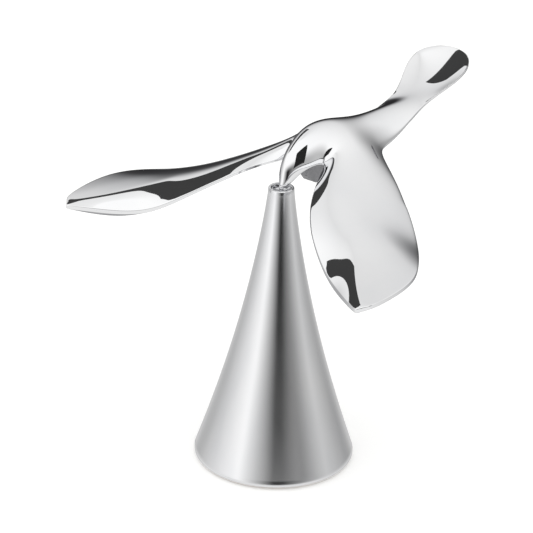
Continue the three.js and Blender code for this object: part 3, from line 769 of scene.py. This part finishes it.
def build_floor():
    """Pale floor, open from below so that the underside can be looked at."""
    mesh = bpy.data.meshes.new("floor")
    half = FLOOR_HALF
    mesh.from_pydata([(-half, -half, 0), (half, -half, 0), (half, half, 0), (-half, half, 0)],
                     [], [(0, 1, 2, 3)])
    floor = new_object("floor", mesh)
    look = Look("pale_floor", (0.9, 0.9, 0.89), 0, 0.8)
    look.shader.inputs["Emission Color"].default_value = (1, 1, 0.99, 1)
    look.shader.inputs["Emission Strength"].default_value = FLOOR_GLOW
    nodes = look.tree.nodes
    side = nodes.new("ShaderNodeNewGeometry").outputs["Backfacing"]
    mix = nodes.new("ShaderNodeMixShader")
    look.link(side, mix.inputs["Fac"])
    look.link(look.shader.outputs[0], mix.inputs[1])
    look.link(nodes.new("ShaderNodeBsdfTransparent").outputs[0], mix.inputs[2])
    look.link(mix.outputs[0], nodes["Material Output"].inputs["Surface"])
    mesh.materials.append(look.material)
    floor.visible_glossy = False


def build_backdrop():
    """Plain white surroundings, seen by cameras only."""
    bm = bmesh.new()
    bmesh.ops.create_uvsphere(bm, u_segments=48, v_segments=24, radius=BACKDROP_RADIUS)
    mesh = bpy.data.meshes.new("backdrop")
    bm.to_mesh(mesh)
    bm.free()
    dome = new_object("backdrop", mesh)
    look = Look("backdrop_white", (0, 0, 0), 0, 1)
    look.shader.inputs["Emission Color"].default_value = (1, 1, 1, 1)
    look.shader.inputs["Emission Strength"].default_value = 1
    mesh.materials.append(look.material)
    dome.visible_diffuse = False
    dome.visible_glossy = False
    dome.visible_shadow = False


# brightness of the walls: (degrees from the camera's side, brightness). Two softboxes, one on each
# side, with a dark gap at the camera and a dark room behind the stand
WALLS = [(-180, 0.05), (-115, 0.6), (-50, 1.1), (0, 0.02), (12, 0.02), (80, 0.65), (180, 0.05)]
TABLE = [(-180, 0.6), (-90, 0.85), (45, 0.85), (180, 0.6)]
CEILING = [(-180, 0.8), (-90, 1.05), (60, 1.05), (180, 0.8)]
# the sine of the elevation where each layer has given way to the next
TABLE_TO_WALLS = (-0.4, -0.2)
WALLS_TO_CEILING = (0.05, 0.45)


class Studio:
    """World shader whose brightness depends on the direction alone."""

    def __init__(self):
        world = bpy.data.worlds.new("studio")
        bpy.context.scene.world = world
        world.use_nodes = True
        self.tree = world.node_tree
        self.background = self.tree.nodes["Background"]
        turn = self.node("ShaderNodeVectorRotate", rotation_type="Z_AXIS")
        turn.inputs["Angle"].default_value = -math.radians(VIEW_AZIMUTH)
        self.link(self.node("ShaderNodeTexCoord").outputs["Generated"], turn.inputs["Vector"])
        axes = self.node("ShaderNodeSeparateXYZ")
        self.link(turn.outputs["Vector"], axes.inputs[0])
        x, y, self.rise = axes.outputs
        angle = self.maths("ARCTAN2", x, self.maths("MULTIPLY", y, -1.0))
        self.round = self.maths("ADD", self.maths("MULTIPLY", angle, 0.5 / math.pi), 0.5)

    def node(self, kind, **settings):
        made = self.tree.nodes.new(kind)
        for key, value in settings.items():
            setattr(made, key, value)
        return made

    def link(self, a, b):
        self.tree.links.new(a, b)

    def maths(self, operation, *values):
        made = self.node("ShaderNodeMath", operation=operation)
        for socket, value in zip(made.inputs, values):
            if isinstance(value, float):
                socket.default_value = value
            else:
                self.link(value, socket)
        return made.outputs[0]

    def layer(self, stops):
        ramp = self.node("ShaderNodeValToRGB")
        elements = ramp.color_ramp.elements
        while len(elements) < len(stops):
            elements.new(0.5)
        for element, (degrees, value) in zip(elements, stops):
            element.position = (degrees + 180) / 360
            element.color = (value, value, value, 1)
        self.link(self.round, ramp.inputs["Fac"])
        return ramp.outputs["Color"]

    def blend(self, low, high, limits):
        share = self.node("ShaderNodeMapRange", interpolation_type="SMOOTHSTEP")
        share.inputs["From Min"].default_value = limits[0]
        share.inputs["From Max"].default_value = limits[1]
        self.link(self.rise, share.inputs["Value"])
        mix = self.node("ShaderNodeMix", data_type="RGBA")
        self.link(share.outputs["Result"], mix.inputs[0])
        self.link(low, mix.inputs[6])
        self.link(high, mix.inputs[7])
        return mix.outputs[2]


def build_world():
    studio = Studio()
    glow = studio.layer(TABLE)
    for stops, limits in ((WALLS, TABLE_TO_WALLS), (CEILING, WALLS_TO_CEILING)):
        glow = studio.blend(glow, studio.layer(stops), limits)
    studio.link(glow, studio.background.inputs["Color"])


build_camera()
build_floor()
build_backdrop()
build_panels()
build_world()
bpy.context.scene.view_settings.view_transform = "Standard"
